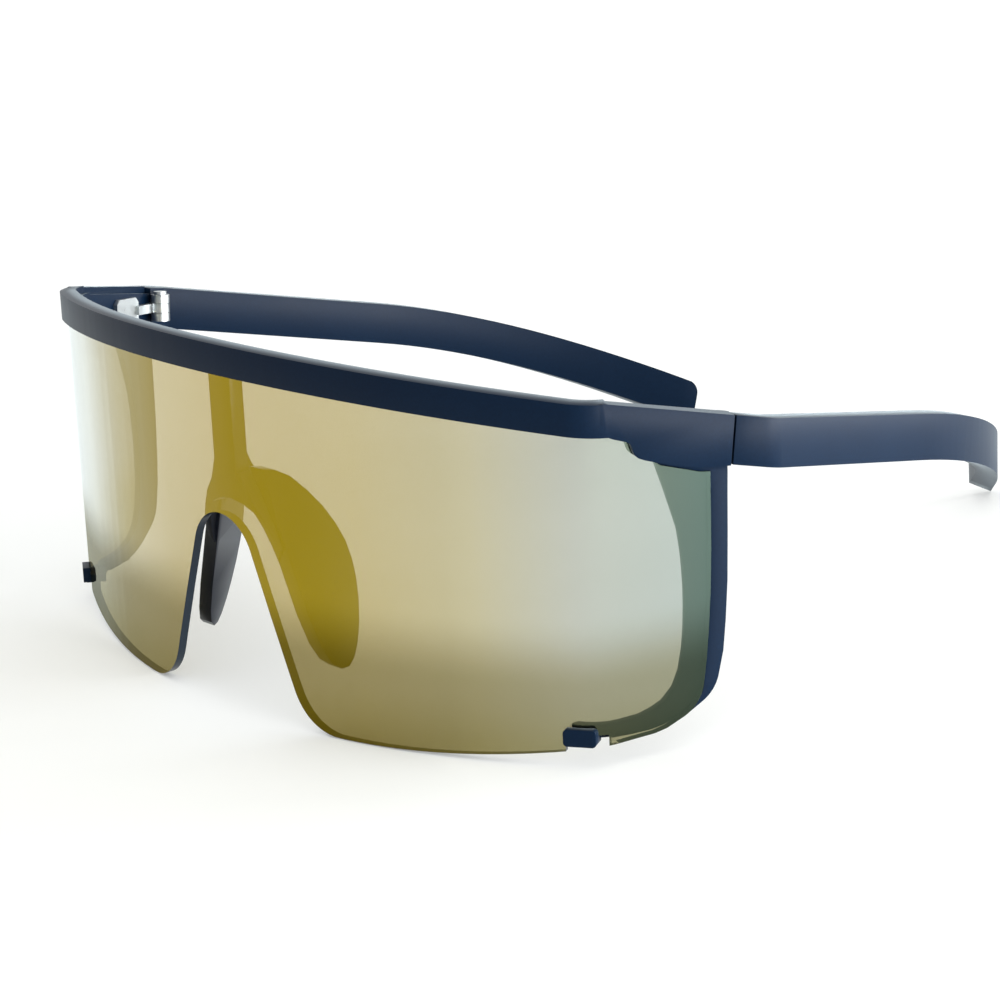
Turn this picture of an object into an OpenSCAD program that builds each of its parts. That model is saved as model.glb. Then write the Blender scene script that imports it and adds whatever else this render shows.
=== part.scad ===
// Shield sunglasses, standing open on the lower lobes of the lens and on the temple ends.
// X runs to the right as seen from the front, Y runs back towards the wearer, Z is up.
// Every module draws in an upright frame in which the lens stands vertical; rest() then
// leans the whole part back until the lens lobes and both temple ends touch the table.

/* [Front] */
// Radius of the lens front in plan
front_radius = 130.9; // [130.9:0.1:130.9]
// Radius of the corner where the lens turns back
corner_radius = 8.1; // [8.1:0.1:8.1]
// Plan angle where the corner starts
wrap_start = 27.9; // [27.9:0.1:27.9]
// Plan angle of the side
wrap_end = 66.4; // [66.4:0.1:66.4]
// Length of the straight side, from the corner to the hinge seam
side_length = 18.7; // [18.7:0.1:18.7]
// Height of the brow bar's top at the centre
brow_top = 57; // [56.6:0.1:57.4]
// Height of the brow bar's lower edge at the centre
brow_bottom = 52.4; // [52:0.1:52.8]
// How far the brow bar's top bows down towards the corners, as a radius
brow_top_bow = 670; // [640:10:700]
// How far the brow bar's lower edge bows down, as a radius
brow_bottom_bow = 670; // [640:10:700]
// Brow bar's front lip, in front of the lens
lip_depth = 1; // [0.9:0.05:1.1]
// Depth of the brow bar's flat top
brow_top_depth = 2.6; // [2.4:0.1:2.8]
// How far the ledge behind the top lies below it
ledge_drop = 1.2; // [0.8:0.1:1.6]
// Wall behind the lens, which also makes the side arms
rear_wall = 1.1; // [1:0.05:1.1]
// How far the rim beside the lens stays behind the lens's front
rim_recess = 0.3; // [0.1:0.05:0.5]
// Radius of the rim's lower corner
rim_corner_radius = 6; // [5.6:0.1:6.4]
// Width of the hook's tab on the lens
hook_width = 4.8; // [4.2:0.1:5]
// Height of the hook's tab
hook_height = 2.5; // [2.2:0.1:2.8]
// Height of the hook's neck through the lens notch
hook_neck = 1.35; // [1:0.05:1.4]
// How far the hook stands in front of the lens
hook_proud = 1.1; // [0.8:0.1:1.4]
// Corner radius of the hook's tab
hook_round = 0.6; // [0.3:0.1:1]

/* [Lens] */
// Lens thickness
lens_thickness = 1.45; // [1.4:0.05:1.45]
// Height of the lens's hidden top edge, in the brow bar's groove
lens_top = 54.2; // [53.8:0.1:54.4]
// Radius of the nose arch
arch_radius = 7.5; // [7:0.1:8]
// Height of the nose arch's centre
arch_height = 23.4; // [23:0.1:23.8]
// Angle of the cutout's sides from the vertical
cutout_angle = 21.8; // [20:0.1:24]
// Radius of each lower lobe beside the nose
lobe_radius = 9; // [8:0.1:10]
// Lowest height of the lens in the upright frame
lobe_height = 0.55; // [0.4:0.05:0.7]
// Radius of the lower edge
lower_edge_radius = 198; // [190:1:206]
// Radius of the lens's lower outer corner
lens_corner_radius = 6.2; // [5.8:0.1:6.6]
// Width of the notch for the hook
notch_width = 6.2; // [5.8:0.1:6.4]
// Height of the notch's top
notch_top = 6.5; // [6.4:0.1:6.8]

/* [Temples] */
// Thickness of the temple band
temple_thickness = 3.6; // [3.5:0.05:3.6]
// Height of the temple band
temple_height = 6.9; // [6.7:0.1:7.1]
// Angle of the temples down from the lens's normal
temple_pitch = 11.8; // [11.4:0.05:12.2]
// Straight length behind the seam
root_length = 4.1; // [4:0.1:4.6]
// Outer radius of the bend behind the root
bend_radius = 5; // [4.6:0.1:5.4]
// Turn of that bend
bend_turn = 36.2; // [35:0.1:37]
// Straight length of the main band
main_length = 40; // [38:0.1:42]
// Radius of the inward curl in plan
curl_radius = 85; // [80:1:90]
// Turn of the inward curl
curl_turn = 34; // [32:0.1:36]
// Straight length at the end
end_length = 8; // [7:0.1:9]
// Radius of the downward bend in side view
droop_radius = 150; // [140:1:160]
// Radius of the temple end's upper corner
tip_round = 2.2; // [1:0.1:2.6]
// Width of the hinge seam
seam_gap = 0.3; // [0.3:0.05:0.4]
// Slant of the seam and of the hinge pin
seam_lean = 6; // [5:0.5:7]

/* [Nose piece] */
// Width of the column
column_width = 5.2; // [4.8:0.1:5.8]
// Depth of the column
column_depth = 2.3; // [2.1:0.1:2.6]
// Depth of the fork between the column and the pads
fork_depth = 3.2; // [3:0.1:3.5]
// Width of the head on the brow bar's back
head_width = 9; // [8:0.1:10]
// Depth of that head
head_depth = 1.5; // [1.2:0.1:1.8]
// Height of the fork's top
fork_top = 42; // [41:0.1:43]
// Depth of each pad, front to back
pad_depth = 7.9; // [7.5:0.1:8.3]
// Thickness of each pad at its back
pad_thickness = 2; // [1.8:0.1:2.2]
// Thickness of each pad at its front
pad_front = 2.6; // [2.4:0.1:2.8]
// Angle of the pads from the vertical, seen from the front
pad_angle = 18.5; // [17.5:0.1:19.5]
// Distance of the pads' front edges from the middle at the pads' mid height
pad_half_gap = 9.1; // [8.8:0.1:9.4]
// Height of the pads' middle
pad_height = 20; // [19.6:0.1:20.4]
// Outward splay of the pads towards the back
pad_splay = 4.3; // [4:0.1:4.6]

/* [Hinges] */
// Hinge pin radius
pin_radius = 0.6; // [0.5:0.05:0.65]
// Knuckle radius
knuckle_radius = 1.6; // [1.5:0.05:1.7]
// Height of the knuckle stack
stack_height = 4.4; // [4.2:0.1:4.6]
// Height of the middle knuckle
middle_height = 1.6; // [1.4:0.1:1.8]
// Thickness of the hinge leaves
leaf_thickness = 0.8; // [0.6:0.05:0.9]
// Length of the front leaf's plate
front_plate = 6.5; // [5.5:0.1:7]
// Distance of the front leaf's plate from the seam
front_plate_offset = 5; // [4.5:0.1:5.5]
// Length of the temple leaf's plate
temple_plate = 2.3; // [2:0.1:2.3]
// Screw head radius
screw_head_radius = 1.1; // [1:0.05:1.3]
// Screw head height
screw_head_height = 0.5; // [0.4:0.05:0.6]
// Depth of the anchor that each leaf sinks into the plastic
anchor_depth = 1.6; // [1.2:0.1:1.8]

/* [Fits] */
// Clearance between pieces that are seated against each other
seat_gap = 0.05; // [0.05:0.01:0.08]
// Radial clearance of the hinge pin
pin_clearance = 0.04; // [0.03:0.01:0.06]
// Clearance between knuckles
knuckle_gap = 0.1; // [0.1:0.02:0.2]

/* [Output] */
// Which node to draw

/* [Hidden] */
$fn = 96;
// neighbouring parts of one piece run this far into each other
joint_overlap = 0.5;
// steps of the curved outlines
front_steps = 18;
corner_steps = 12;
bend_steps = 12;
curl_steps = 20;
droop_steps = 20;
tip_steps = 12;
// plan geometry of the lens front
corner_x = (front_radius - corner_radius) * sin(wrap_start);
corner_y = front_radius - (front_radius - corner_radius) * cos(wrap_start);
side_x = corner_x + corner_radius * sin(wrap_end);
side_y = corner_y - corner_radius * cos(wrap_end);
back_depth = lens_thickness + seat_gap + rear_wall;
ledge_start = brow_top_depth - lip_depth;
// heights along the side, all of them falling with the temple's pitch
side_slope = sin(wrap_end) * tan(temple_pitch);
side_top = brow_top - side_x * side_x / (2 * brow_top_bow);
side_bottom = brow_bottom - side_x * side_x / (2 * brow_bottom_bow);
seam_top = side_top - side_slope * side_length;
// outer top corner of the seam in plan
seam_x = side_x + side_length * cos(wrap_end) + lip_depth * sin(wrap_end);
seam_y = side_y + side_length * sin(wrap_end) - lip_depth * cos(wrap_end);
// end of the temple in plan, and the lowest point of the temple there
function heading(a) = [cos(a), sin(a)];
function inward(a) = [-sin(a), cos(a)];
heading_1 = wrap_end + bend_turn;
heading_2 = heading_1 + curl_turn;
plan_0 = [seam_x, seam_y] - root_length * heading(wrap_end);
plan_1 = [seam_x, seam_y] + root_length * heading(wrap_end);
plan_2 = plan_1 + bend_radius * (inward(wrap_end) - inward(heading_1));
plan_3 = plan_2 + main_length * heading(heading_1);
plan_4 = plan_3 + curl_radius * (inward(heading_1) - inward(heading_2));
plan_5 = plan_4 + end_length * heading(heading_2);
droop_start = (plan_3[1] - seam_y) / cos(temple_pitch);
droop_y = seam_y + droop_start * cos(temple_pitch) - droop_radius * sin(temple_pitch);
droop_z = seam_top - droop_start * sin(temple_pitch) - droop_radius * cos(temple_pitch);
function band_z(y, depth) = droop_z - depth * cos(temple_pitch)
  + sqrt(pow(droop_radius, 2) - pow(y - droop_y + depth * sin(temple_pitch), 2));
tip_low = band_z(plan_5[1], temple_height);
// lower edge of the lens, in the upright frame
cut_s = sin(cutout_angle);
cut_c = cos(cutout_angle);
flank = (arch_height + arch_radius * cut_s + lobe_radius * cut_s - lobe_height - lobe_radius) / cut_c;
lobe_x = arch_radius * cut_c + flank * cut_s + lobe_radius * cut_c;
function lower_z(x) = lobe_height + lower_edge_radius
  - sqrt(pow(lower_edge_radius, 2) - pow(max(x - lobe_x, 0), 2));
// the lens touches the table with the back of its lower edge
function back_y(x) = front_radius - sqrt(pow(front_radius - lens_thickness, 2) - x * x);
lower_steps = 24;
lower_x = [for (i = [0 : lower_steps]) lobe_x + (side_x - lobe_x) * i / lower_steps];
first_lean = atan((tip_low - lower_z(lobe_x)) / (plan_5[1] - back_y(lobe_x)));
function rested(y, z, a) = z * cos(a) - y * sin(a);
low_1 = min([for (x = lower_x) rested(back_y(x), lower_z(x), first_lean)]);
low_x = [for (x = lower_x) if (rested(back_y(x), lower_z(x), first_lean) == low_1) x][0];
rest_lean = atan((tip_low - lower_z(low_x)) / (plan_5[1] - back_y(low_x)));
rest_lift = -rested(back_y(low_x), lower_z(low_x), rest_lean);
// outlines on the side, as shares of its length and of the brow bar's height
brow_step_shares = [[0.05, 0.857], [0.1, 0.852], [0.15, 0.847], [0.175, 0.842], [0.19, 0.833],
  [0.2, 0.822], [0.212, 0.812], [0.235, 0.804], [0.286, 0.797], [0.365, 0.789], [0.555, 0.772],
  [0.71, 0.763], [0.93, 0.759]];
arm_inner_shares = [[0.4, 0.785], [0.478, 0.706], [0.526, 0.654], [0.572, 0.602], [0.593, 0.55],
  [0.605, 0.499], [0.61, 0.448], [0.608, 0.4], [0.6, 0.346], [0.583, 0.296], [0.551, 0.242],
  [0.497, 0.201], [0.409, 0.169], [0.316, 0.153], [0.223, 0.142], [0.064, 0.135]];
arm_lower_shares = [[0, 0.096], [0.151, 0.098], [0.31, 0.103], [0.406, 0.1105], [0.495, 0.1235],
  [0.574, 0.1365]];
rim_edge_shares = [[0.878, 0.289], [0.903, 0.365], [0.926, 0.466], [0.938, 0.592], [0.945, 0.69],
  [0.95, 0.742], [0.95, 0.785]];
rim_corner_shares = [0.698, 0.164];
strip_low_share = 0.0993;
strip_top_share = 0.134;
// turns of the two lower corners, from the angle where each starts to where it ends
rim_turns = [33, 77];
lens_turns = [28, 78];
lens_corner_shares = [0.54, 0.1325];
lens_low_shares = [[0.151, 0.094], [0.31, 0.101], [0.406, 0.11]];
lens_edge_shares = [[0.737, 0.271], [0.761, 0.347], [0.785, 0.448], [0.8, 0.574], [0.806, 0.699]];
lens_upper_shares = [[0.809, 0.746], [0.728, 0.748], [0.573, 0.762], [0.42, 0.776], [0.37, 0.787],
  [0.31, 0.797]];
lens_step_share = 0.31;
lens_step_top_share = 0.85;
strip_low = brow_top * strip_low_share;
strip_top = brow_top * strip_top_share;
// positions round the corner, as shares of its turn
hook_turn_share = 0.11;
notch_turn_share = 0.242;
strip_start = corner_x + corner_radius * sin(wrap_start + (wrap_end - wrap_start) * hook_turn_share)
  - hook_width / 2;
// the pads' side outline, as shares of their depth and of the pads' height
pad_outline_shares = [[-0.09, 0.62], [-0.04, 0.3], [0.04, -0.2], [0.12, -0.45], [0.22, -0.58],
  [0.36, -0.635], [0.5, -0.62], [0.62, -0.55], [0.74, -0.43], [0.85, -0.27], [0.94, -0.08],
  [0.99, 0.1], [1, 0.25], [0.97, 0.4], [0.88, 0.55], [0.74, 0.7], [0.55, 0.84], [0.32, 0.97],
  [0.1, 1.03], [-0.09, 1.04]];
column_y = lens_thickness + rim_recess / 2;
fork_y = lens_thickness + 2 * rim_recess;
pad_front_y = fork_y + fork_depth - rim_recess * 1.5;
pad_length_share = 0.87;
pad_middle_share = 0.98;
fork_shares = [[0.01, 0.97], [0.08, 0.945], [0.3, 0.905], [0.55, 0.877], [0.81, 0.84], [1.05, 0.797],
  [1.3, 0.75], [1.58, 0.692], [1.8, 0.615], [1.56, 0.57], [1.45, 0.634], [1.27, 0.693],
  [1.05, 0.742], [0.58, 0.768], [0.01, 0.78]];
// the fork's side outline, its front running back towards the pads, as shares of its depth and height
fork_side_shares = [[-0.2, 1.1], [-0.2, 0.847], [0.7, 0.571], [0.7, 0.45], [1.2, 0.45], [1.2, 1.1]];
column_low_share = 0.85;
low_third = (stack_height - middle_height) / 2;
head_height_share = 0.8;
peg_drop = 2 * joint_overlap;
temple_plate_offset = knuckle_radius + 2 * seat_gap;
head_bottom = brow_bottom - peg_drop;
head_height = (brow_top - brow_bottom) * head_height_share;
peg_radius = head_depth / 2;
peg_height = head_bottom + head_height / 2;
peg_spacing = head_width / 2;
peg_length = rear_wall * 0.6;

navy = [0.13, 0.19, 0.3];
gold = [0.72, 0.62, 0.3];
steel = [0.75, 0.76, 0.76];

function arc_points(c, r, a0, a1, n) =
  [for (i = [0 : n]) c + r * [cos(a0 + (a1 - a0) * i / n), sin(a0 + (a1 - a0) * i / n)]];
function backwards(p) = [for (i = [len(p) - 1 : -1 : 0]) p[i]];
function mirrored(p) = [for (q = backwards(p)) [-q[0], q[1]]];
function at_side(p) = [for (q = p) [q[0] * side_length, q[1] * brow_top]];

// leans the part back on the table
module rest() {
  translate([0, 0, rest_lift])
    rotate([-rest_lean, 0, 0])
      children();
}
module both_sides() {
  children();
  mirror([1, 0, 0])
    children();
}
// right half of the front's plan line, at a depth behind the lens's front
function plan_half(depth, reach) = concat(
  [for (i = [0 : front_steps]) let (a = wrap_start * i / front_steps)
    [(front_radius - depth) * sin(a), front_radius - (front_radius - depth) * cos(a)]],
  [for (i = [1 : corner_steps]) let (a = wrap_start + (wrap_end - wrap_start) * i / corner_steps)
    [corner_x + (corner_radius - depth) * sin(a), corner_y - (corner_radius - depth) * cos(a)]],
  [[side_x, side_y] + reach * heading(wrap_end) + depth * inward(wrap_end)]);
function without_first(p) = [for (i = [1 : len(p) - 1]) p[i]];
function plan_line(depth, reach) =
  concat(mirrored(plan_half(depth, reach)), without_first(plan_half(depth, reach)));
// the whole front wall between two depths, standing upright over the full height
module plan_band(from, to) {
  reach = side_length + joint_overlap;
  translate([0, 0, -lobe_radius])
    linear_extrude(height = brow_top + 2 * lobe_radius)
      polygon(concat(plan_line(from, reach), backwards(plan_line(to, reach))));
}
// X along the side from the corner, Y inwards from the lens's front, Z up
module side_frame() {
  translate([side_x, side_y, 0])
    rotate([0, 0, wrap_end])
      children();
}
// a plate on the side: an outline in (along, height), from one depth in to another
module side_plate(from, to) {
  side_frame()
    translate([0, to, 0])
      rotate([90, 0, 0])
        linear_extrude(height = to - from)
          children();
}
// a spot round the corner: X along the lens, Y inwards
module corner_spot(share) {
  a = wrap_start + (wrap_end - wrap_start) * share;
  translate([corner_x + corner_radius * sin(a), corner_y - corner_radius * cos(a), 0])
    rotate([0, 0, a])
      children();
}
// cuts the curved front to an outline seen from the front
module front_view(depth) {
  translate([0, depth, 0])
    rotate([90, 0, 0])
      linear_extrude(height = 2 * depth)
        children();
}
// leaves only what lies ahead of the straight sides
module ahead_of_sides() {
  difference() {
    children();
    both_sides()
      side_frame()
        translate([joint_overlap, -corner_radius, -lobe_radius])
          cube([2 * side_length, 3 * corner_radius, 2 * brow_top]);
  }
}
// at the outer top corner of the seam, leaning with the hinge pin
module seam_frame() {
  side_frame()
    translate([side_length, -lip_depth, seam_top])
      rotate([0, seam_lean, 0])
        children();
}
module pin_frame() {
  seam_frame()
    translate([0, temple_thickness + knuckle_radius + leaf_thickness / 2, -(temple_height - stack_height) / 2])
      children();
}

// the lens, grown by a clearance where it serves as a cutter
module lens_shape(grow) {
  arch = arc_points([0, arch_height], arch_radius - grow, 90, cutout_angle, 12);
  lobe = arc_points([lobe_x, lobe_height + lobe_radius], lobe_radius + grow, 180 + cutout_angle, 270, 12);
  lower = [for (x = lower_x) [x, lower_z(x) - grow]];
  reach = side_x + 2 * grow;
  upper_line = [for (i = [lower_steps : -1 : 0]) [reach * i / lower_steps,
    lens_top + grow - pow(reach * i / lower_steps, 2) / (2 * brow_top_bow)]];
  half = concat(arch, lobe, lower, [[reach, lower_z(side_x) - grow]], upper_line);
  low = at_side([lens_corner_shares])[0];
  turn = lens_corner_radius * [-sin(lens_turns[0]), cos(lens_turns[0])];
  side_round = arc_points(low + turn, lens_corner_radius + grow, lens_turns[0] - 90, lens_turns[1] - 90, 14);
  step = side_length * lens_step_share + grow;
  step_top = side_top - (brow_top - lens_top) * lens_step_top_share + grow;
  upper = at_side(lens_upper_shares);
  side = concat([[-joint_overlap, lower_z(side_x) - grow], [0, lower_z(side_x) - grow]],
    [for (q = at_side(lens_low_shares)) [q[0], q[1] - grow]], side_round,
    [for (q = at_side(lens_edge_shares)) [q[0] + grow, q[1]]], [[upper[0][0] + grow, upper[0][1] + grow]],
    [for (q = without_first(upper)) [q[0], q[1] + grow]],
    [[step, upper[len(upper) - 1][1] + grow], [step, step_top], [-joint_overlap, step_top]]);
  difference() {
    intersection() {
      plan_band(-grow, lens_thickness + grow);
      union() {
        ahead_of_sides()
          front_view(front_radius)
            polygon(concat(half, mirrored(half)));
        both_sides()
          side_plate(-corner_radius, corner_radius)
            polygon(side);
      }
    }
    both_sides()
      corner_spot(notch_turn_share)
        translate([-notch_width / 2 + grow, -lens_thickness, -lobe_radius])
          cube([notch_width - 2 * grow, 3 * lens_thickness, notch_top + lobe_radius - grow]);
  }
}

module shield_lens() {
  color(gold)
    rest()
      lens_shape(0);
}

// outline of the brow bar seen from the front, its top lowered by a drop
module brow_outline(drop) {
  n = 24;
  reach = side_x + lip_depth + joint_overlap;
  xs = [for (i = [-n : n]) reach * i / n];
  top = [for (x = xs) [x, brow_top - drop - x * x / (2 * brow_top_bow)]];
  bottom = [for (x = xs) [x, brow_bottom - x * x / (2 * brow_bottom_bow)]];
  polygon(concat(top, backwards(bottom)));
}
module endpiece_outline(drop) {
  reach = side_length + joint_overlap;
  polygon(concat([[-joint_overlap, side_top - drop], [-joint_overlap, side_bottom], [0, side_bottom]],
    at_side(brow_step_shares), [[reach, brow_top * brow_step_shares[len(brow_step_shares) - 1][1]],
    [reach, side_top - drop - side_slope * reach], [0, side_top - drop]]));
}
// the brow bar with its endpieces: its flat top in front, a lower ledge behind
module brow_bar() {
  intersection() {
    plan_band(-lip_depth, back_depth);
    union() {
      ahead_of_sides()
        front_view(front_radius)
          brow_outline(ledge_drop);
      both_sides()
        side_plate(-corner_radius, corner_radius)
          endpiece_outline(ledge_drop);
    }
  }
  intersection() {
    plan_band(-lip_depth, ledge_start);
    union() {
      ahead_of_sides()
        front_view(front_radius)
          brow_outline(0);
      both_sides()
        side_plate(-corner_radius, corner_radius)
          endpiece_outline(0);
    }
  }
}
// a rim beside the lens and a strip behind its lower corner, down to the hook
module side_arm() {
  turn = rim_corner_radius * [-sin(rim_turns[0]), cos(rim_turns[0])];
  rim = arc_points(at_side([rim_corner_shares])[0] + turn, rim_corner_radius, rim_turns[0] - 90,
    rim_turns[1] - 90, 14);
  outline = concat([[-joint_overlap, strip_low]], at_side(arm_lower_shares), rim,
    at_side(rim_edge_shares), at_side(arm_inner_shares), [[0, strip_top], [-joint_overlap, strip_top]]);
  intersection() {
    plan_band(rim_recess, back_depth);
    side_plate(-corner_radius, corner_radius)
      polygon(outline);
  }
  intersection() {
    plan_band(back_depth - rear_wall, back_depth);
    translate([strip_start, 0, strip_low])
      cube([side_x - strip_start, 2 * side_y, strip_top - strip_low]);
  }
}
module rounded_plate(w, h, r) {
  translate([r, 0])
    square([w - 2 * r, h]);
  translate([0, r])
    square([w, h - 2 * r]);
  for (x = [r, w - r], y = [r, h - r])
    translate([x, y])
      circle(r = r, $fn = 32);
}
module hook() {
  foot = strip_low - (hook_height - hook_neck) / 2;
  corner_spot(hook_turn_share) {
    translate([-hook_width / 2, lens_thickness / 2, foot])
      rotate([90, 0, 0])
        linear_extrude(height = hook_proud + lens_thickness / 2)
          rounded_plate(hook_width, hook_height, hook_round);
    translate([-hook_width / 2 + hook_round / 2, -hook_proud / 2, foot])
      cube([hook_width - hook_round, hook_proud / 2 + back_depth, hook_neck]);
  }
}
module front_frame() {
  color(navy)
    rest()
      difference() {
        union() {
          brow_bar();
          both_sides() {
            side_arm();
            hook();
          }
        }
        lens_shape(seat_gap);
        both_sides()
          seam_frame()
            translate([-seam_gap / 2, -side_length, -1.1 * temple_height])
              cube([3 * side_length, 3 * side_length, side_length]);
        both_sides()
          leaf_anchor(-front_plate_offset - front_plate, front_plate, seat_gap);
        for (s = [-1, 1])
          translate([s * peg_spacing / 2, back_depth + seat_gap, peg_height])
            rotate([90, 0, 0])
              cylinder(r = peg_radius + seat_gap / 2, h = peg_length + 2 * seat_gap, $fn = 32);
      }
}

// one pad: a slanted plate, thicker at its front, cut to its side outline
module pad() {
  section = [[-pad_front / 2, 0], [-pad_front / 2 + pad_splay, pad_depth],
    [-pad_front / 2 + pad_splay + pad_thickness, pad_depth], [pad_front / 2, 0]];
  intersection() {
    translate([pad_half_gap + pad_front / 2, pad_front_y, pad_height])
      rotate([0, -pad_angle, 0])
        translate([0, 0, -2 * pad_height])
          linear_extrude(height = 4 * pad_height)
            polygon([for (q = section) [q[0] * 1.2, (q[1] - pad_depth / 2) * 1.2 + pad_depth / 2]]);
    rotate([90, 0, 90])
      linear_extrude(height = 4 * pad_half_gap)
        polygon([for (q = pad_outline_shares)
          [pad_front_y + q[0] * pad_depth, pad_height * (pad_middle_share + pad_length_share * q[1])]]);
  }
}
module nose_piece() {
  fork = [for (q = fork_shares) [q[0] * column_width, q[1] * fork_top]];
  color(navy)
    rest() {
      translate([-head_width / 2, back_depth + 2 * seat_gap, head_bottom])
        cube([head_width, head_depth, head_height]);
      translate([-column_width / 2, column_y, fork_top * column_low_share])
        cube([column_width, column_depth, brow_bottom - seat_gap - fork_top * column_low_share]);
      intersection() {
        translate([0, fork_y + fork_depth, 0])
          rotate([90, 0, 0])
            linear_extrude(height = fork_depth)
              polygon(concat(fork, mirrored(fork)));
        translate([-2 * column_width, 0, 0])
          rotate([90, 0, 90])
            linear_extrude(height = 4 * column_width)
              polygon([for (q = fork_side_shares) [fork_y + q[0] * fork_depth, q[1] * fork_top]]);
      }
      both_sides()
        pad();
      for (s = [-1, 1])
        translate([s * peg_spacing / 2, back_depth + head_depth / 2, peg_height])
          rotate([90, 0, 0])
            cylinder(r = peg_radius - seat_gap / 2, h = peg_length + head_depth / 2, $fn = 32);
    }
}

// the anchor that a hinge leaf sinks into the plastic behind it
module leaf_anchor(start, length, grow) {
  h = stack_height / 2;
  seam_frame()
    translate([start + length / 4 - grow, temple_thickness - anchor_depth - grow,
      -temple_height / 2 - h / 2 - grow])
      cube([length / 2 + 2 * grow, anchor_depth + leaf_thickness / 2 + 2 * grow, h + 2 * grow]);
}
module leaf_plate(start, length) {
  c = leaf_thickness;
  seam_frame()
    translate([start, temple_thickness + seat_gap + leaf_thickness, -temple_height / 2 - stack_height / 2])
      rotate([90, 0, 0])
        linear_extrude(height = leaf_thickness)
          polygon([[c, 0], [length - c, 0], [length, c], [length, stack_height - c],
            [length - c, stack_height], [c, stack_height], [0, stack_height - c], [0, c]]);
}
// one knuckle with its lug back to the leaf, from one height in the stack to another
module knuckle(low, high, lug_to) {
  pin_frame() {
    translate([0, 0, low - stack_height])
      cylinder(r = knuckle_radius, h = high - low, $fn = 48);
    translate([min(lug_to, 0), -knuckle_radius + seat_gap - leaf_thickness / 4, low - stack_height])
      cube([abs(lug_to), leaf_thickness * 1.5, high - low]);
  }
}
module pin_bore(extra) {
  pin_frame()
    translate([0, 0, -2 * stack_height])
      cylinder(r = pin_radius + extra, h = 3 * stack_height, $fn = 48);
}
module front_leaf() {
  difference() {
    union() {
      leaf_plate(-front_plate_offset - front_plate, front_plate);
      leaf_anchor(-front_plate_offset - front_plate, front_plate, 0);
      knuckle(low_third + knuckle_gap / 2, stack_height - low_third - knuckle_gap / 2, -front_plate_offset - leaf_thickness);
    }
    pin_bore(pin_clearance);
  }
}
module temple_leaf() {
  difference() {
    union() {
      leaf_plate(temple_plate_offset, temple_plate);
      leaf_anchor(temple_plate_offset, temple_plate, 0);
      knuckle(0, low_third - knuckle_gap / 2, temple_plate_offset + leaf_thickness);
      knuckle(stack_height - low_third + knuckle_gap / 2, stack_height, temple_plate_offset + leaf_thickness);
    }
    pin_bore(pin_clearance);
  }
}
module screw() {
  pin_frame() {
    translate([0, 0, -stack_height])
      cylinder(r = pin_radius, h = stack_height + seat_gap, $fn = 48);
    translate([0, 0, seat_gap])
      cylinder(r = screw_head_radius, h = screw_head_height, $fn = 48);
  }
}

// the temple's outer line in plan, or its inner line at the band's thickness
function step_run(p, r, a0, a1, n) =
  [for (i = [1 : n]) let (a = a0 + (a1 - a0) * i / n) p + r * (inward(a0) - inward(a))];
function band_line(depth) =
  let (q0 = plan_0 + depth * inward(wrap_end), q1 = plan_1 + depth * inward(wrap_end),
    q2 = plan_2 + depth * inward(heading_1), q3 = plan_3 + depth * inward(heading_1),
    q5 = plan_5 + depth * inward(heading_2) + temple_height / 2 * heading(heading_2))
  concat([q0, q1], step_run(q1, bend_radius - depth, wrap_end, heading_1, bend_steps),
    [q3], step_run(q3, curl_radius - depth, heading_1, heading_2, curl_steps), [q5]);
// side view of the band, first straight, then bending down; drawn as depth back and height
droop_reach = (plan_5[1] - seam_y) / cos(temple_pitch) - droop_start + temple_height;
function droop_line(depth) = concat([[-temple_height, -depth], [droop_start, -depth]],
  [for (i = [1 : droop_steps]) let (u = droop_reach * i / droop_steps)
    [droop_start + u, sqrt(pow(droop_radius, 2) - u * u) - droop_radius - depth]]);
module temple() {
  difference() {
    intersection() {
      linear_extrude(height = brow_top)
        polygon(concat(band_line(0), backwards(band_line(temple_thickness))));
      translate([0, seam_y, seam_top])
        rotate([-temple_pitch, 0, 0])
          rotate([90, 0, 90])
            linear_extrude(height = 2 * brow_top)
              polygon(concat(droop_line(0), backwards(droop_line(temple_height))));
    }
    seam_frame()
      translate([seam_gap / 2 - side_length, -side_length, -2 * side_length])
        cube([side_length, 3 * side_length, 4 * side_length]);
    leaf_anchor(temple_plate_offset, temple_plate, seat_gap);
    tip_corner();
  }
}
// cuts the temple's end across its side view and rounds the upper corner along its slanting top
module tip_corner() {
  fall = tan(asin((plan_5[1] - droop_y) / droop_radius));
  slope = atan(fall * sin(heading_2));
  level = cos(slope) / cos(slope - temple_pitch);
  tilt = atan(-fall * cos(heading_2) * level);
  turn = atan(tan(slope - temple_pitch) * cos(tilt));
  height = (band_z(plan_5[1], 0) - tip_low) * level * cos(tilt);
  centre = [-tip_round, height - tip_round * cos(turn) / (1 + sin(turn))];
  far = 2 * temple_height;
  translate([plan_5[0], plan_5[1], tip_low])
    rotate([0, 0, heading_2])
      rotate([0, temple_pitch, 0])
        rotate([tilt, 0, 0])
          translate([0, far, 0])
            rotate([90, 0, 0])
              linear_extrude(height = 1.5 * far)
                polygon(concat([[0, -far]], arc_points(centre, tip_round, 0, 90 - turn, tip_steps),
                  [centre + (tip_round + temple_height) * [sin(turn), cos(turn)]],
                  [[far, far], [far, -far]]));
}

module temple_left() {
  color(navy)
    rest()
      temple();
}
module temple_right() {
  color(navy)
    rest()
      mirror([1, 0, 0])
        temple();
}
module hinge_front_leaf_left() {
  color(steel)
    rest()
      front_leaf();
}
module hinge_front_leaf_right() {
  color(steel)
    rest()
      mirror([1, 0, 0])
        front_leaf();
}
module hinge_temple_leaf_left() {
  color(steel)
    rest()
      temple_leaf();
}
module hinge_temple_leaf_right() {
  color(steel)
    rest()
      mirror([1, 0, 0])
        temple_leaf();
}
module hinge_screw_left() {
  color(steel)
    rest()
      screw();
}
module hinge_screw_right() {
  color(steel)
    rest()
      mirror([1, 0, 0])
        screw();
}

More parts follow.
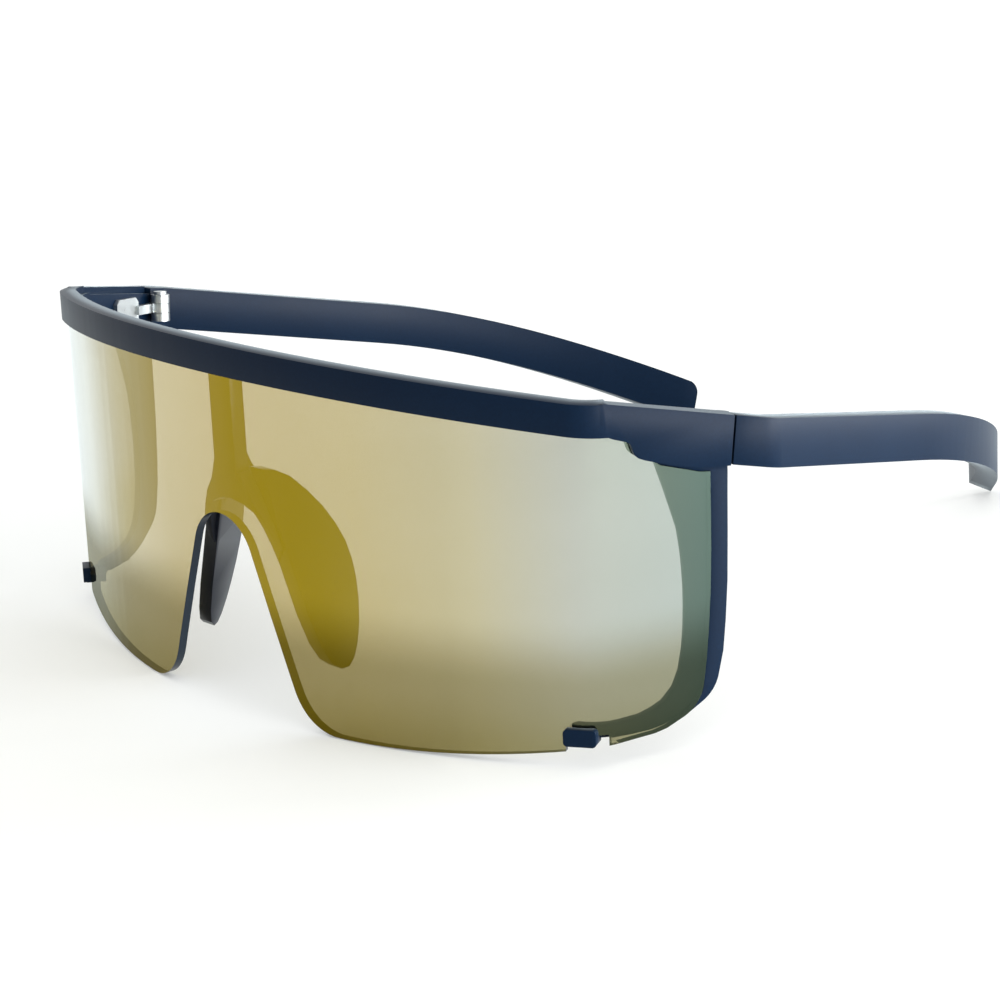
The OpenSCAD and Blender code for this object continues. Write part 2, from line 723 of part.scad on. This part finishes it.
front_frame();
shield_lens();
nose_piece();
temple_left();
temple_right();
hinge_front_leaf_left();
hinge_front_leaf_right();
hinge_temple_leaf_left();
hinge_temple_leaf_right();
hinge_screw_left();
hinge_screw_right();
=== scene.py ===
import bpy
import math
from mathutils import Matrix, Vector

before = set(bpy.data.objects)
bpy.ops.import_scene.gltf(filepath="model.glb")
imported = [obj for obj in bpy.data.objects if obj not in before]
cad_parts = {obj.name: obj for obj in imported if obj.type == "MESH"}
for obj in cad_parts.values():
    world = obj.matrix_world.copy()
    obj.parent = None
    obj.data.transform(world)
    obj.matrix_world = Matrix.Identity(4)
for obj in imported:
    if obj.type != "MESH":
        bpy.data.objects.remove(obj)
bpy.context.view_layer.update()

# lengths are in metres
GRAIN_DEPTH = 0.0002
LENS_CENTRE = (0.0, 0.1309, 0.0)        # near the middle of the lens's arc
GRADED_OUT_TO = 0.072                   # the lens's colours change from its middle to here
PAINTED_SHADE_UP_TO = 0.022                    # and from the table up to here, the reach of the painted shade on the lower lens
WELD_DISTANCE = 0.00001
EDGE_ROUNDING = 0.00018
ROUNDED_ABOVE = math.radians(55.0)      # angles between two faces
SHARP_ABOVE = math.radians(28.0)
TABLE_REACH = 3.0
TABLE_GLOW = 0.12                       # added where the eye or a reflection sees the table
ROOM_LIGHT = 0.85
ROOM_GLOW = 0.15                        # added where the eye or a reflection sees the room

scene = bpy.context.scene
scene.view_settings.view_transform = "Standard"


def material(name):
    """A new material, its node tree and its output node."""
    look = bpy.data.materials.new(name)
    look.use_nodes = True
    tree = look.node_tree
    tree.nodes.clear()
    return look, tree, tree.nodes.new("ShaderNodeOutputMaterial")


def node(tree, kind, **values):
    """A node with some inputs set. In an input's name here, an underscore is a space."""
    made = tree.nodes.new(kind)
    for key, value in values.items():
        made.inputs[key.replace("_", " ")].default_value = value
    return made


def math_node(tree, operation, *values, clamp=False):
    """A Math node. Each value is a number or another node's output."""
    made = tree.nodes.new("ShaderNodeMath")
    made.operation = operation
    made.use_clamp = clamp
    for socket, value in zip(made.inputs, values):
        if isinstance(value, float):
            socket.default_value = value
        else:
            tree.links.new(value, socket)
    return made.outputs[0]


def vector_node(tree, operation, *values):
    """A Vector Math node. Each value is a tuple or another node's output."""
    made = tree.nodes.new("ShaderNodeVectorMath")
    made.operation = operation
    for socket, value in zip(made.inputs, values):
        if isinstance(value, tuple):
            socket.default_value = value
        else:
            tree.links.new(value, socket)
    return made.outputs["Value" if operation == "DOT_PRODUCT" else "Vector"]


def ramp(tree, factor, stops, interpolation="LINEAR"):
    """A colour ramp. Each stop is a place and a colour, or a single number for a grey."""
    made = tree.nodes.new("ShaderNodeValToRGB")
    made.color_ramp.interpolation = interpolation
    while len(made.color_ramp.elements) < len(stops):
        made.color_ramp.elements.new(0.5)
    for element, (place, colour) in zip(made.color_ramp.elements, stops):
        if isinstance(colour, float):
            colour = (colour,) * 3
        element.position = place
        element.color = (*colour, 1.0)
    tree.links.new(factor, made.inputs["Fac"])
    return made.outputs["Color"]


def mix_colours(tree, factor, first, second, blend="MIX"):
    """A Mix node for colours. Each value is fixed or another node's output."""
    made = tree.nodes.new("ShaderNodeMix")
    made.data_type = "RGBA"
    made.blend_type = blend
    for slot, value in ((0, factor), (6, first), (7, second)):
        if isinstance(value, float):
            made.inputs[slot].default_value = value
        elif isinstance(value, tuple):
            made.inputs[slot].default_value = (*value, 1.0)
        else:
            tree.links.new(value, made.inputs[slot])
    return made.outputs[2]


def join_shaders(tree, first, second, factor=None):
    """Two shaders mixed by a factor, or added where there is none."""
    made = tree.nodes.new("ShaderNodeAddShader" if factor is None else "ShaderNodeMixShader")
    if factor is not None:
        tree.links.new(factor, made.inputs["Fac"])
    sockets = [socket for socket in made.inputs if socket.type == "SHADER"]
    for socket, shader in zip(sockets, (first, second)):
        tree.links.new(shader.outputs[0], socket)
    return made


def position(tree):
    """Position in metres in the model's own frame."""
    return tree.nodes.new("ShaderNodeTexCoord").outputs["Object"]


def noise(tree, place, **values):
    """The output of a Noise node at a place."""
    made = node(tree, "ShaderNodeTexNoise", **values)
    tree.links.new(place, made.inputs["Vector"])
    return made.outputs["Fac"]


def seeing_rays(tree):
    """1 for camera, glossy and transmission rays, 0 for all others."""
    paths = tree.nodes.new("ShaderNodeLightPath")
    seen = math_node(tree, "ADD", paths.outputs["Is Camera Ray"], paths.outputs["Is Glossy Ray"])
    return math_node(tree, "ADD", seen, paths.outputs["Is Transmission Ray"], clamp=True)


def plastic(name, dark, light, roughness, specular, sheen):
    """Moulded plastic: a fine grain in its colour, its gloss and its surface."""
    look, tree, out = material(name)
    place = position(tree)
    fine = noise(tree, place, Scale=2600.0, Detail=3.0, Roughness=0.6)
    soft = noise(tree, place, Scale=60.0, Detail=2.0)
    mixed = math_node(tree, "ADD", math_node(tree, "MULTIPLY", fine, 0.6),
                      math_node(tree, "MULTIPLY", soft, 0.4))
    colour = ramp(tree, mixed, [(0.35, dark), (0.65, light)])
    body = node(tree, "ShaderNodeBsdfPrincipled", Specular_IOR_Level=specular,
                Sheen_Weight=sheen, Sheen_Roughness=0.25, Sheen_Tint=(0.78, 0.93, 1.0, 1.0))
    tree.links.new(colour, body.inputs["Base Color"])
    rough = math_node(tree, "MULTIPLY_ADD", soft, 0.08, roughness - 0.04)
    tree.links.new(rough, body.inputs["Roughness"])
    bump = node(tree, "ShaderNodeBump", Strength=0.02, Distance=GRAIN_DEPTH)
    tree.links.new(fine, bump.inputs["Height"])
    tree.links.new(bump.outputs["Normal"], body.inputs["Normal"])
    tree.links.new(body.outputs[0], out.inputs["Surface"])
    return look


def metal(name, colour, roughness):
    """Metal whose gloss varies a little over its surface."""
    look, tree, out = material(name)
    wear = noise(tree, position(tree), Scale=900.0, Detail=4.0)
    body = node(tree, "ShaderNodeBsdfPrincipled", Metallic=1.0, Base_Color=(*colour, 1.0))
    rough = math_node(tree, "MULTIPLY_ADD", wear, 0.2, roughness - 0.1)
    tree.links.new(rough, body.inputs["Roughness"])
    tree.links.new(body.outputs[0], out.inputs["Surface"])
    return look


def lens_faces(tree, place, geometry):
    """Two masks: 1 on the lens's outer face, and 1 on both faces but not on the edges."""
    from_centre = vector_node(tree, "SUBTRACT", place, LENS_CENTRE)
    level = vector_node(tree, "MULTIPLY", from_centre, (1.0, 1.0, 0.0))
    outward = vector_node(tree, "NORMALIZE", level)
    along = vector_node(tree, "DOT_PRODUCT", geometry.outputs["True Normal"], outward)
    # the true normal is turned towards the viewer, so its sign is undone on a face's back
    sign = math_node(tree, "MULTIPLY_ADD", geometry.outputs["Backfacing"], -2.0, 1.0)
    facing = math_node(tree, "MULTIPLY", along, sign)
    outer = math_node(tree, "GREATER_THAN", facing, 0.5)
    inner = math_node(tree, "LESS_THAN", facing, -0.5)
    return outer, math_node(tree, "ADD", outer, inner, clamp=True)


def coat_colour(tree, side, height, backfacing):
    """What the coat reflects: gold in the middle and greener towards the sides, with painted
    shade towards the lower edge.
    """
    gold = ramp(tree, side, [
        (0.0, (0.310, 0.215, 0.004)), (0.40, (0.300, 0.220, 0.010)),
        (0.66, (0.270, 0.225, 0.060)), (0.86, (0.160, 0.175, 0.120)),
        (1.0, (0.105, 0.165, 0.145))])
    # it turns pale where the eye meets it at a glancing angle
    slant = node(tree, "ShaderNodeLayerWeight", Blend=0.5)
    glance = ramp(tree, slant.outputs["Facing"], [
        (0.34, 0.0), (0.42, 0.012), (0.56, 0.07), (0.70, 0.24),
        (0.76, 0.46), (0.82, 0.66), (0.92, 0.80), (1.0, 0.84)])
    paled = mix_colours(tree, glance, gold, (0.86, 0.92, 0.94))
    # painted shade: it gets darker towards the lower edge, in place of the table's shadow seen
    # in the coat
    painted_low_shade = ramp(tree, height, [
        (0.0, (0.36, 0.35, 0.28)), (0.5, (0.42, 0.41, 0.36)), (1.0, 1.0)], "EASE")
    graded = mix_colours(tree, 1.0, paled, painted_low_shade, "MULTIPLY")
    # from inside, it lies behind the tinted lens and reflects little
    from_inside = math_node(tree, "MULTIPLY", backfacing, 0.8)
    return mix_colours(tree, from_inside, graded, (0.020, 0.022, 0.020))


def tint_colour(tree, side, height):
    """What the lens lets through: more at the sides, less and warmer at the lower edge, where
    this is painted shade.
    """
    smoke = ramp(tree, side, [
        (0.0, (0.250, 0.250, 0.245)), (0.6, 0.27), (0.85, 0.36), (1.0, 0.36)])
    # painted shade: less and warmer light through the lower edge, in place of the table's shadow
    painted_low_shade = ramp(tree, height, [
        (0.0, (0.74, 0.66, 0.36)), (0.5, (0.78, 0.72, 0.50)), (1.0, 1.0)], "EASE")
    return mix_colours(tree, 1.0, smoke, painted_low_shade, "MULTIPLY")


def lens_material():
    """A thin gold mirror coat on the outer face of a smoke-tinted see-through lens."""
    look, tree, out = material("lens_coat")
    place = position(tree)
    geometry = tree.nodes.new("ShaderNodeNewGeometry")
    outer, faces = lens_faces(tree, place, geometry)
    split = tree.nodes.new("ShaderNodeSeparateXYZ")
    tree.links.new(place, split.inputs[0])
    side = math_node(tree, "DIVIDE", math_node(tree, "ABSOLUTE", split.outputs["X"]),
                     GRADED_OUT_TO, clamp=True)
    height = math_node(tree, "DIVIDE", split.outputs["Z"], PAINTED_SHADE_UP_TO, clamp=True)

    mirror = node(tree, "ShaderNodeBsdfGlossy", Roughness=0.03)
    tree.links.new(coat_colour(tree, side, height, geometry.outputs["Backfacing"]),
                   mirror.inputs["Color"])
    smoke = tree.nodes.new("ShaderNodeBsdfTransparent")
    tree.links.new(tint_colour(tree, side, height), smoke.inputs["Color"])
    outer_face = join_shaders(tree, mirror, smoke)

    clear = tree.nodes.new("ShaderNodeBsdfTransparent")
    gloss = node(tree, "ShaderNodeBsdfGlossy", Roughness=0.04, Color=(0.035, 0.035, 0.035, 1.0))
    inner_face = join_shaders(tree, clear, gloss)
    face = join_shaders(tree, inner_face, outer_face, outer)
    edge = node(tree, "ShaderNodeBsdfPrincipled", Roughness=0.22, Specular_IOR_Level=0.12,
                Base_Color=(0.012, 0.018, 0.026, 1.0))
    whole = join_shaders(tree, edge, face, faces)
    tree.links.new(whole.outputs[0], out.inputs["Surface"])
    return look


def smooth_group():
    """Soft shading over gentle curves, hard edges where faces meet at a larger angle."""
    group = bpy.data.node_groups.new("soft_curves", "GeometryNodeTree")
    for way in ("INPUT", "OUTPUT"):
        group.interface.new_socket("Geometry", in_out=way, socket_type="NodeSocketGeometry")
    start = group.nodes.new("NodeGroupInput")
    end = group.nodes.new("NodeGroupOutput")
    angle = group.nodes.new("GeometryNodeInputMeshEdgeAngle")
    sharp = math_node(group, "GREATER_THAN", angle.outputs["Unsigned Angle"], SHARP_ABOVE)
    faces = group.nodes.new("GeometryNodeSetShadeSmooth")
    faces.domain = "FACE"
    faces.inputs["Shade Smooth"].default_value = True
    edges = group.nodes.new("GeometryNodeSetShadeSmooth")
    edges.domain = "EDGE"
    edges.inputs["Shade Smooth"].default_value = False
    group.links.new(start.outputs[0], faces.inputs["Geometry"])
    group.links.new(faces.outputs[0], edges.inputs["Geometry"])
    group.links.new(sharp, edges.inputs["Selection"])
    group.links.new(edges.outputs[0], end.inputs[0])
    return group


soft_curves = smooth_group()
navy = plastic("navy_plastic", (0.0003, 0.0060, 0.0185), (0.0008, 0.0082, 0.0240),
               roughness=0.45, specular=0.09, sheen=0.21)
rubber = plastic("nose_rubber", (0.0012, 0.0030, 0.0080), (0.0026, 0.0048, 0.0120),
                 roughness=0.36, specular=0.22, sheen=0.36)
steel = metal("hinge_steel", (0.50, 0.53, 0.54), roughness=0.32)
looks = {"front_frame": navy, "temple_left": navy, "temple_right": navy,
         "nose_piece": rubber, "shield_lens": lens_material()}
for piece in ("hinge_front_leaf", "hinge_temple_leaf", "hinge_screw"):
    for hand in ("left", "right"):
        looks[f"{piece}_{hand}"] = steel

for name, look in looks.items():
    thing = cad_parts[name]
    thing.data.materials.clear()
    thing.data.materials.append(look)
    weld = thing.modifiers.new("shared_points", "WELD")
    weld.merge_threshold = WELD_DISTANCE
    if look in (navy, rubber):
        rounding = thing.modifiers.new("round_edges", "BEVEL")
        rounding.width = EDGE_ROUNDING
        rounding.segments = 2
        rounding.limit_method = "ANGLE"
        rounding.angle_limit = ROUNDED_ABOVE
        rounding.use_clamp_overlap = True
    shading = thing.modifiers.new("soft_curves", "NODES")
    shading.node_group = soft_curves

# the table
corners = [(x * TABLE_REACH, y * TABLE_REACH, 0.0)
           for x, y in ((-1, -1), (1, -1), (1, 1), (-1, 1))]
table_mesh = bpy.data.meshes.new("table")
table_mesh.from_pydata(corners, [], [(0, 1, 2, 3)])
table = bpy.data.objects.new("table", table_mesh)
scene.collection.objects.link(table)
table_white, tree, out = material("table_white")
sheet = node(tree, "ShaderNodeBsdfDiffuse", Color=(0.86, 0.875, 0.86, 1.0))
glow = tree.nodes.new("ShaderNodeEmission")
tree.links.new(math_node(tree, "MULTIPLY", seeing_rays(tree), TABLE_GLOW),
               glow.inputs["Strength"])
tree.links.new(join_shaders(tree, sheet, glow).outputs[0], out.inputs["Surface"])
table_mesh.materials.append(table_white)

# an even white room
world = bpy.data.worlds.new("studio")
scene.world = world
world.use_nodes = True
tree = world.node_tree
background = tree.nodes["Background"]
background.inputs["Color"].default_value = (1.0, 1.0, 1.0, 1.0)
tree.links.new(math_node(tree, "MULTIPLY_ADD", seeing_rays(tree), ROOM_GLOW, ROOM_LIGHT),
               background.inputs["Strength"])

# lamps: name, place, target, width, height, power in watts
for name, place, target, width, height, power in (
        ("side_strip", (0.61, 0.32, 0.06), (0.07, 0.04, 0.04), 0.25, 0.10, 5.0),
        ("front_right_strip", (0.68, 0.0, 0.06), (0.07, 0.03, 0.04), 0.25, 0.10, 4.0),
        ("rear_right_strip", (0.40, 0.60, 0.06), (0.07, 0.10, 0.03), 0.35, 0.10, 5.0),
        ("left_panel", (-0.8, 0.10, 0.35), (-0.05, 0.02, 0.03), 0.6, 0.6, 1.5)):
    light = bpy.data.lights.new(name, "AREA")
    light.shape = "RECTANGLE"
    light.size = width
    light.size_y = height
    light.energy = power
    lamp = bpy.data.objects.new(name, light)
    scene.collection.objects.link(lamp)
    lamp.location = place
    aim = Vector(target) - Vector(place)
    lamp.rotation_euler = aim.to_track_quat("-Z", "Y").to_euler()

# camera, from the fit to the photograph: angles in radians, then pixels of it, then metres
yaw, pitch, roll = 0.88474, 0.34793, -0.12402
focal, centre_x, centre_y, picture = 3212.38, 562.0, 562.0, 1000.0
stand = Vector((0.38092, -0.24480, 0.18009))
forward = Vector((-math.sin(yaw) * math.cos(pitch), math.cos(yaw) * math.cos(pitch),
                  -math.sin(pitch)))
right = Vector((math.cos(yaw), math.sin(yaw), 0.0))
up = right.cross(forward)
turned_right = right * math.cos(roll) + up * math.sin(roll)
turned_up = up * math.cos(roll) - right * math.sin(roll)
optics = bpy.data.cameras.new("photo_camera")
optics.sensor_width = 36.0
optics.lens = optics.sensor_width * focal / picture
optics.shift_x = (picture / 2 - centre_x) / picture
optics.shift_y = (centre_y - picture / 2) / picture
optics.clip_start = 0.01
camera = bpy.data.objects.new("photo_camera", optics)
scene.collection.objects.link(camera)
axes = Matrix((turned_right, turned_up, -forward)).transposed()
camera.matrix_world = Matrix.Translation(stand) @ axes.to_4x4()
scene.camera = camera
